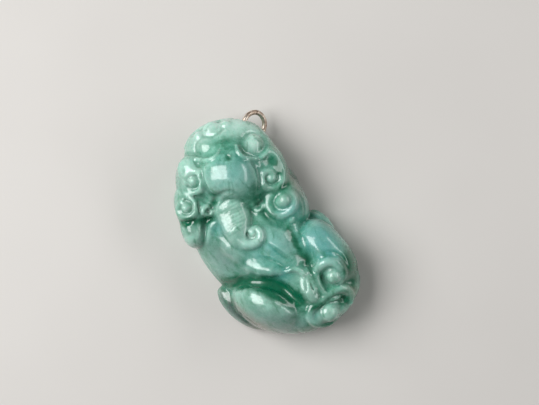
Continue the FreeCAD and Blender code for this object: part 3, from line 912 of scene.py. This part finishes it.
def jade():
    """Mottled green jadeite: pale, clouded and emerald patches in a teal ground, deeply polished, with painted
    shade in its hollows, a painted shadow on the low paw and the right edge, a painted highlight on what stands
    proud and a painted warm reflection along its rims.
    """
    n = Nodes("jade")
    mint, emerald = linear(194, 226, 214), linear(0, 98, 68)
    deep_teal, light_teal = linear(48, 134, 106), linear(118, 184, 162)
    painted_shade_green, rib_green, drift_green = linear(22, 116, 86), linear(58, 132, 108), linear(14, 116, 80)
    frost = linear(214, 236, 228)
    mottle = n.noise(4.5, detail=4.0, rough=0.6, distortion=0.8)
    fibre = n.noise(1.6, detail=4.0, rough=0.6, distortion=0.6, offset=3.0, stretch=(1, 1, 0.6))
    grain = n.noise(0.22, detail=2.0, rough=0.6, offset=7.0)

    colour = n.mix(n.span(mottle, 0.38, 0.62), deep_teal, light_teal)
    # Cloudy and blue are the stone's own tones; brown is a painted warm reflection along the rims, and slate is a
    # painted shadow.
    for layer, tone, most in (
        ("cloudy", linear(124, 154, 146), 0.95),
        ("blue", linear(84, 162, 160), 0.9),
        ("brown_rim_reflection", linear(124, 106, 82), 0.85),
        ("slate_shadow", linear(66, 86, 84), 0.95),
    ):
        share = n.combine("MULTIPLY", n.layer(layer), n.span(fibre, 0.3, 0.7, most * 0.7, most))
        colour = n.mix(share, colour, tone)
    # Painted highlight: what stands proud is painted milkier.
    colour = n.mix(n.combine("MULTIPLY", n.layer("proud_for_painted_light"), 0.22), colour, mint)
    pale = n.combine("MULTIPLY", n.layer("pale"), n.span(fibre, 0.3, 0.7, 0.5, 0.95))
    colour = n.mix(pale, colour, mint)
    # Painted shade: the hollows are painted a darker, deeper green.
    colour = n.mix(n.combine("MULTIPLY", n.layer("hollow_shade"), 0.3), colour, painted_shade_green)
    ribs = n.combine("MULTIPLY", n.layer("ribs"), n.span(fibre, 0.3, 0.6, 0.15, 0.6))
    colour = n.mix(ribs, colour, rib_green)
    colour = n.mix(n.span(grain, 0.4, 0.8, 0.0, 0.12), colour, frost)
    # Emerald gathers in patches with ragged, feathery edges, and drifts thinly over the rest.
    ragged = n.combine("ADD", n.layer("emerald"), n.span(fibre, 0.3, 0.7, -0.25, 0.15))
    colour = n.mix(n.span(ragged, 0.0, 0.9, 0.0, 0.97), colour, emerald)
    drift = n.noise(2.6, detail=4.0, rough=0.6, distortion=1.8, offset=11.0, stretch=(1, 0.5, 1))
    colour = n.mix(n.span(drift, 0.52, 0.72, 0.0, 0.5), colour, drift_green)
    n.feed(n.shader.inputs["Base Color"], colour)

    n.feed(n.shader.inputs["Roughness"], n.span(n.noise(2.0), 0.3, 0.7, 0.22, 0.34))
    n.shader.inputs["Coat Weight"].default_value = 0.6
    n.shader.inputs["IOR"].default_value = 1.66
    n.shader.inputs["Subsurface Weight"].default_value = 0.6
    n.shader.inputs["Subsurface Radius"].default_value = (0.5, 1.0, 0.8)
    n.shader.inputs["Subsurface Scale"].default_value = 0.8 * MM
    n.shader.inputs["Coat IOR"].default_value = 1.6
    n.shader.inputs["Coat Roughness"].default_value = 0.04
    n.shader.inputs["Specular IOR Level"].default_value = 0.3
    # Faint waves left by hand polishing.
    ripples = n.combine("MULTIPLY", n.noise(0.5, detail=2.0, offset=5.0), 0.25)
    waves = n.combine("ADD", n.noise(1.6, detail=2.0), ripples)
    bump = n.node("ShaderNodeBump", Height=waves, Strength=0.25, Distance=0.05 * MM)
    n.feed(n.shader.inputs["Normal"], bump.outputs[0])
    return n.material


def ring_metal():
    """Bent metal wire, warm in colour and a little dulled, with fine scratches."""
    n = Nodes("ring_metal")
    dull = n.noise(0.9, detail=4.0, rough=0.6, distortion=0.5)
    scratch = n.noise(0.12, detail=2.0, rough=0.7, offset=2.0, stretch=(1, 1, 0.25))
    bright, tarnished = linear(240, 228, 214), linear(170, 148, 130)
    n.feed(n.shader.inputs["Base Color"], n.mix(n.span(dull, 0.35, 0.65), bright, tarnished))
    n.shader.inputs["Metallic"].default_value = 1.0
    n.feed(n.shader.inputs["Roughness"], n.span(dull, 0.3, 0.7, 0.3, 0.5))
    bump = n.node("ShaderNodeBump", Height=scratch, Strength=0.5, Distance=0.03 * MM)
    n.feed(n.shader.inputs["Normal"], bump.outputs[0])
    return n.material


stone = make_stone()
stone.data.materials.append(jade())
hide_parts("jade_carving")
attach(stone, "carving")
ring_node = frame["nodes"]["bail_ring"]
metal = ring_metal()
for slot in ring_node.material_slots:
    slot.material = metal

# ---------------------------------------------------------------- stage

FLOOR_REACH = 1.0
VIEW_TURN = 27  # degrees the beast is turned in the view
VIEW_WIDTH = 0.0968  # seen across the picture, at VIEW_LEVEL above the floor
VIEW_LEVEL = 0.005
CAMERA_PLACE = (0.00356, 0.00355, 0.36)
SENSOR_WIDTH = 36
LIGHT_DISTANCE = 0.4
WORLD_LIGHT = 0.12

floor_mesh = bpy.data.meshes.new("floor")
corners = [(x * FLOOR_REACH, y * FLOOR_REACH, 0) for x, y in ((-1, -1), (1, -1), (1, 1), (-1, 1))]
floor_mesh.from_pydata(corners, [], [(0, 1, 2, 3)])
floor = bpy.data.objects.new("floor", floor_mesh)
bpy.context.scene.collection.objects.link(floor)
floor_nodes = Nodes("floor")
shade = floor_nodes.span(floor_nodes.noise(40.0, detail=2.0), 0.3, 0.7)
tone = floor_nodes.mix(shade, linear(207, 204, 200), linear(210, 207, 203))
floor_nodes.feed(floor_nodes.shader.inputs["Base Color"], tone)
floor_nodes.shader.inputs["Roughness"].default_value = 0.9
floor_nodes.shader.inputs["Specular IOR Level"].default_value = 0.1
floor_mesh.materials.append(floor_nodes.material)

camera_data = bpy.data.cameras.new("camera")
camera = bpy.data.objects.new("camera", camera_data)
bpy.context.scene.collection.objects.link(camera)
bpy.context.scene.camera = camera
camera_data.sensor_width = SENSOR_WIDTH
camera_data.lens = SENSOR_WIDTH * (CAMERA_PLACE[2] - VIEW_LEVEL) / VIEW_WIDTH
turn = Matrix.Rotation(math.radians(-VIEW_TURN), 4, "Z")
camera.matrix_world = Matrix.Translation(CAMERA_PLACE) @ turn

image_right = turn @ Vector((1, 0, 0))
image_up = turn @ Vector((0, 1, 0))
low, high = cad_box
middle = Vector((low + high) / 2)


def softbox(name, right, up, elevation, size, power, roll=0):
    """An area light, seen from the object towards a direction in the picture, at an elevation."""
    flat = (image_right * right + image_up * up).normalized()
    angle = math.radians(elevation)
    place = middle + LIGHT_DISTANCE * (flat * math.cos(angle) + Vector((0, 0, math.sin(angle))))
    light = bpy.data.lights.new(name, "AREA")
    light.shape = "RECTANGLE"
    light.size, light.size_y = size
    light.energy = power
    lamp = bpy.data.objects.new(name, light)
    bpy.context.scene.collection.objects.link(lamp)
    lamp.location = place
    lamp.rotation_mode = "QUATERNION"
    aim = (place - middle).to_track_quat("Z", "Y")
    lamp.rotation_quaternion = aim @ Quaternion((0, 0, 1), math.radians(roll))


softbox("left_softbox", -1.0, 0.28, 48, (0.32, 0.28), 2.0, 20)
softbox("right_softbox", 0.95, 0.27, 32, (0.50, 0.10), 0.6)
world = bpy.data.worlds.new("studio")
bpy.context.scene.world = world
world.use_nodes = True
background = world.node_tree.nodes["Background"]
background.inputs["Color"].default_value = (1, 1, 1, 1)
background.inputs["Strength"].default_value = WORLD_LIGHT
bpy.context.scene.view_settings.view_transform = "Standard"
